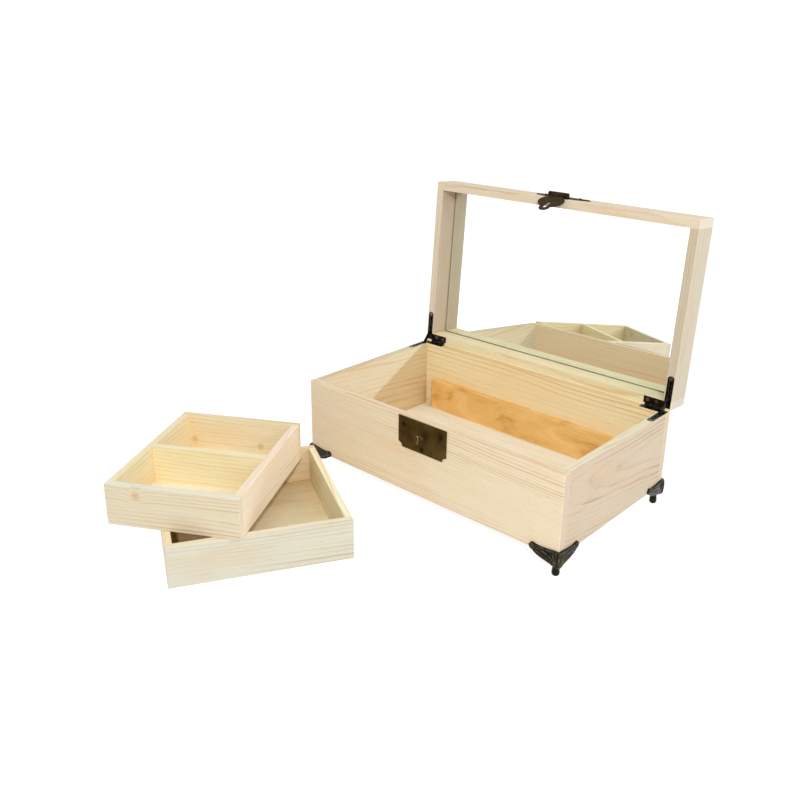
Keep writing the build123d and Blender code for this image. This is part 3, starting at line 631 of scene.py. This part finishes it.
# ---------------------------------------------------------------- small pieces
def slot_lining(side, body, material):
    """Dark channel that lines the wood of a stay's groove under a hinge leaf."""
    leaf_low, leaf_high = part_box(f"hinge_{side}_lower_leaf")
    pin_low, pin_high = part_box(f"hinge_{side}_pin")
    axis = (pin_low + pin_high) / 2
    half_leg = hinge_leg_width / 2 * MM
    middle_x = leaf_low.x + half_leg if side == "left" else leaf_high.x - half_leg
    radius = (stay_slot_width / 2 - lining_gap) * MM
    back_y = axis.y - stay_slot_starts[body] * MM - radius
    front_y = axis.y - stay_slot_end * MM + radius
    outline = []
    for end_y, start in ((back_y, 0), (front_y, 180)):
        for step in range(lining_arc_steps + 1):
            angle = math.radians(start + 180 / lining_arc_steps * step)
            outline.append((middle_x + radius * math.cos(angle), end_y + radius * math.sin(angle)))
    top_z = rim_z - (leaf_thickness + lining_gap) * MM
    bottom_z = rim_z - (stay_slot_depth - lining_gap) * MM
    mesh = bpy.data.meshes.new(f"stay_slot_lining_{body}_{side}")
    edit = bmesh.new()
    top = [edit.verts.new((x, y, top_z)) for x, y in outline]
    bottom = [edit.verts.new((x, y, bottom_z)) for x, y in outline]
    for index, vertex in enumerate(top):
        following = (index + 1) % len(top)
        edit.faces.new((vertex, top[following], bottom[following], bottom[index]))
    edit.faces.new(bottom)
    bmesh.ops.recalc_face_normals(edit, faces=edit.faces)
    if body == "lid":
        over = Matrix.Translation(axis) @ Matrix.Rotation(math.radians(-lid_open), 4, "X")
        edit.transform(over @ Matrix.Diagonal((1, 1, -1, 1)) @ Matrix.Translation(-axis))
    edit.to_mesh(mesh)
    edit.free()
    mesh.materials.append(material)
    piece = placed(mesh.name, mesh)
    sheet = piece.modifiers.new("thickness", "SOLIDIFY")
    sheet.thickness = lining_thickness * MM
    sheet.offset = 0
    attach(piece, body)


def foot_strokes():
    """Lines of the ornament on one wing: (along the wing, above the wood's lower edge, thickness)."""
    scroll = []
    for step in range(scroll_points):
        angle = math.radians(scroll_start + scroll_turn * step)
        radius = scroll_radius * (1 - step / scroll_shrink)
        scroll.append((foot_wing + 0.2 + radius * math.cos(angle),
                       scroll_height + radius * math.sin(angle), 1.0))
    return [
        scroll,
        [(foot_wing - 3.0, 3.6, 0.5), (foot_wing * 0.62, 4.1, 1.0), (foot_wing * 0.3, 4.3, 1.0),
         (0.4, 4.6, 0.7)],
        [(foot_wing - 1.6, 0.9, 0.5), (foot_wing * 0.72, -2.2, 1.0), (foot_wing * 0.45, -4.6, 1.0),
         (foot_wing * 0.2, -6.2, 0.9), (1.4, -7.6, 0.6)],
        [(foot_wing * 0.86, 2.0, 0.4), (foot_wing * 0.66, 2.1, 1.2), (foot_wing * 0.42, 0.8, 1.4),
         (foot_wing * 0.24, -1.6, 1.0), (2.2, -5.4, 0.4)],
        [(foot_wing * 0.78, -0.6, 0.4), (foot_wing * 0.5, -2.2, 1.2), (foot_wing * 0.26, -4.2, 0.9),
         (2.0, -6.8, 0.4)],
        [(foot_wing * 0.2, 3.4, 0.4), (foot_wing * 0.17, 0.8, 1.3), (foot_wing * 0.1, -3.2, 1.0),
         (1.0, -7.0, 0.4)],
        [(1.5, 3.8, 0.5), (1.7, 0.5, 1.3), (1.0, -4.0, 1.0), (0.0, -7.8, 0.5)],
    ]


def foot_relief(name, x_side, y_side, material):
    """Cast ornament on a foot: scrolls at the wing tips, beads along the edges, ribs to the corner."""
    corner = Vector((box_end.x if x_side > 0 else box_corner.x,
                     box_end.y if y_side > 0 else box_corner.y, box_corner.z))
    along_x = Vector((-x_side, 0, 0)), Vector((0, y_side * foot_plate, 0))
    along_y = Vector((0, -y_side, 0)), Vector((x_side * foot_plate, 0, 0))
    up = Vector((0, 0, 1))
    curve = bpy.data.curves.new("foot_relief_" + name, "CURVE")
    curve.dimensions = "3D"
    curve.bevel_depth = bead_radius * MM
    curve.bevel_resolution = 2
    curve.resolution_u = 4
    curve.use_fill_caps = True
    lines = []
    for along, out in (along_x, along_y):
        for stroke in foot_strokes():
            lines.append([(out + along * u + up * w, size) for u, w, size in stroke])
    arris = along_x[1] + along_y[1]
    lines.append([(arris + up * w, size) for w, size in ((4.6, 0.6), (2.0, 1.7), (-3.0, 1.6), (-8.0, 0.8))])
    for line in lines:
        spline = curve.splines.new("NURBS")
        spline.points.add(len(line) - 1)
        for point, (spot, size) in zip(spline.points, line):
            point.co = (*(corner + spot * MM), 1)
            point.radius = size
        spline.use_endpoint_u = True
        spline.order_u = 3
    curve.materials.append(material)
    piece = placed(curve.name, curve)
    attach(piece, "box")


def small_pieces():
    """Pieces that only the scene has: the linings of the stays' grooves and the feet's ornament."""
    dark = bronze("lining_bronze", linear(20, 17, 15), linear(38, 32, 27), linear(80, 72, 60), 0.45)
    raised = bronze("relief_bronze", linear(24, 22, 16), linear(92, 85, 62), linear(214, 200, 160), 0.26,
                    patch_size=2, wear_and_glint=1.0)
    for side in ("left", "right"):
        for body in ("box", "lid"):
            slot_lining(side, body, dark)
    for y_side, depth in ((-1, "front"), (1, "back")):
        for x_side, side in ((-1, "left"), (1, "right")):
            foot_relief(f"{depth}_{side}", x_side, y_side, raised)


# ---------------------------------------------------------------- floor, light and camera
def by_ray(tree, lighting, shown):
    """One shader for rays of diffuse light, the other for rays from the camera, a mirror or glass."""
    path = node(tree, "ShaderNodeLightPath")
    seen = math_node(tree, "MAXIMUM", path.outputs["Is Camera Ray"], path.outputs["Is Glossy Ray"])
    seen = math_node(tree, "MAXIMUM", seen, path.outputs["Is Transmission Ray"])
    either = node(tree, "ShaderNodeMixShader", {0: seen, 1: lighting.outputs[0], 2: shown.outputs[0]})
    return either.outputs[0]


def floor():
    """White floor that keeps a faint shadow of the object."""
    half = floor_size / 2
    mesh = bpy.data.meshes.new("floor")
    mesh.from_pydata([(-half, -half, 0), (half, -half, 0), (half, half, 0), (-half, half, 0)], [],
                     [(0, 1, 2, 3)])
    material = bpy.data.materials.new("floor_white")
    tree = empty_tree(material)
    lit = node(tree, "ShaderNodeBsdfDiffuse", {"Color": grey(floor_lit)})
    soft = node(tree, "ShaderNodeBsdfDiffuse", {"Color": grey(floor_shown)})
    path = node(tree, "ShaderNodeLightPath")
    brighter = math_node(tree, "MULTIPLY", path.outputs["Is Glossy Ray"], floor_glow_in_mirror)
    level = math_node(tree, "ADD", brighter, floor_glow)
    glow = node(tree, "ShaderNodeEmission", {"Color": grey(1.0), "Strength": level})
    shown = node(tree, "ShaderNodeAddShader", {0: soft.outputs[0], 1: glow.outputs[0]})
    node(tree, "ShaderNodeOutputMaterial", {"Surface": by_ray(tree, lit, shown)})
    mesh.materials.append(material)
    placed("floor", mesh)


def world():
    """White surroundings, brighter to the eye than the light that they give."""
    made = bpy.data.worlds.new("studio")
    bpy.context.scene.world = made
    tree = empty_tree(made)
    ambient = node(tree, "ShaderNodeBackground", {"Color": grey(1.0), "Strength": world_level})
    white = node(tree, "ShaderNodeBackground", {"Color": grey(1.0), "Strength": world_shown})
    node(tree, "ShaderNodeOutputWorld", {"Surface": by_ray(tree, ambient, white)})


def direction(azimuth, elevation):
    """Unit vector from the object towards azimuth degrees right of the front and up."""
    a = math.radians(azimuth)
    e = math.radians(elevation)
    return Vector((math.sin(a) * math.cos(e), -math.cos(a) * math.cos(e), math.sin(e)))


def round_lamp(name, place, target, level, size):
    """Round lamp that gives this level of light, 1 being plain daylight, at its target."""
    lamp = bpy.data.lights.new(name, "AREA")
    lamp.shape = "DISK"
    lamp.size = size
    away = place - target
    lamp.energy = level * math.pi ** 2 * away.length_squared
    piece = placed(name, lamp)
    piece.location = place
    piece.rotation_euler = away.to_track_quat("Z", "Y").to_euler()
    return piece


def let_through(lamp, names):
    """Let the light of a lamp pass through these CAD pieces."""
    passed = bpy.data.collections.new("passed_by_" + lamp.name)
    for name in names:
        passed.objects.link(frame["nodes"][name])
    for item in passed.collection_objects:
        item.light_linking.link_state = "EXCLUDE"
    lamp.light_linking.blocker_collection = passed


def key_lamps():
    """The key lamp, and its image in the mirror, which lights the inside of the box."""
    key = round_lamp("key", box_corner + key_from_corner, box_middle, key_level, key_size)
    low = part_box("mirror")[0]
    glass = Vector((box_middle.x, low.y, low.z))
    out_of_glass = body_turn("mirror") @ Vector((0, 0, -1))
    behind = key.location - 2 * (key.location - glass).dot(out_of_glass) * out_of_glass
    image = round_lamp("key_in_mirror", behind, glass, key_level, key_size)
    image.data.energy = key.data.energy * mirror_share
    image.data.color = mirror_light
    lit = bpy.data.collections.new("lit_by_mirror")
    for name in ("box_left_board", "box_bottom_panel"):
        lit.objects.link(frame["nodes"][name])
    image.light_linking.receiver_collection = lit
    let_through(image, ("mirror", "lid_top_panel"))
    let_through(key, ("box_right_board",))


def fill_lamp():
    """Large soft lamp on the right, which opens the shade on the faces turned from the key."""
    fill = round_lamp("fill", box_corner + fill_from_corner, box_middle, fill_level, fill_size)
    let_through(fill, ("box_right_board",))


def camera():
    """Camera that was solved on the photo."""
    made = bpy.data.cameras.new("camera")
    made.sensor_width = sensor
    made.sensor_fit = "HORIZONTAL"
    made.lens = lens
    made.shift_y = lens_shift
    made.clip_end = 100
    piece = placed("camera", made)
    back = direction(camera_azimuth, camera_elevation)
    level = Vector((math.cos(math.radians(camera_azimuth)), math.sin(math.radians(camera_azimuth)), 0))
    upright = back.cross(level)
    roll = math.radians(camera_roll)
    right = level * math.cos(roll) + upright * math.sin(roll)
    up = back.cross(right)
    turn = Matrix((right, up, back)).transposed()
    piece.matrix_world = Matrix.Translation(box_corner + camera_from_corner) @ turn.to_4x4()
    bpy.context.scene.camera = piece


dress_all()
small_pieces()
floor()
world()
key_lamps()
fill_lamp()
camera()
bpy.context.scene.view_settings.view_transform = "Standard"
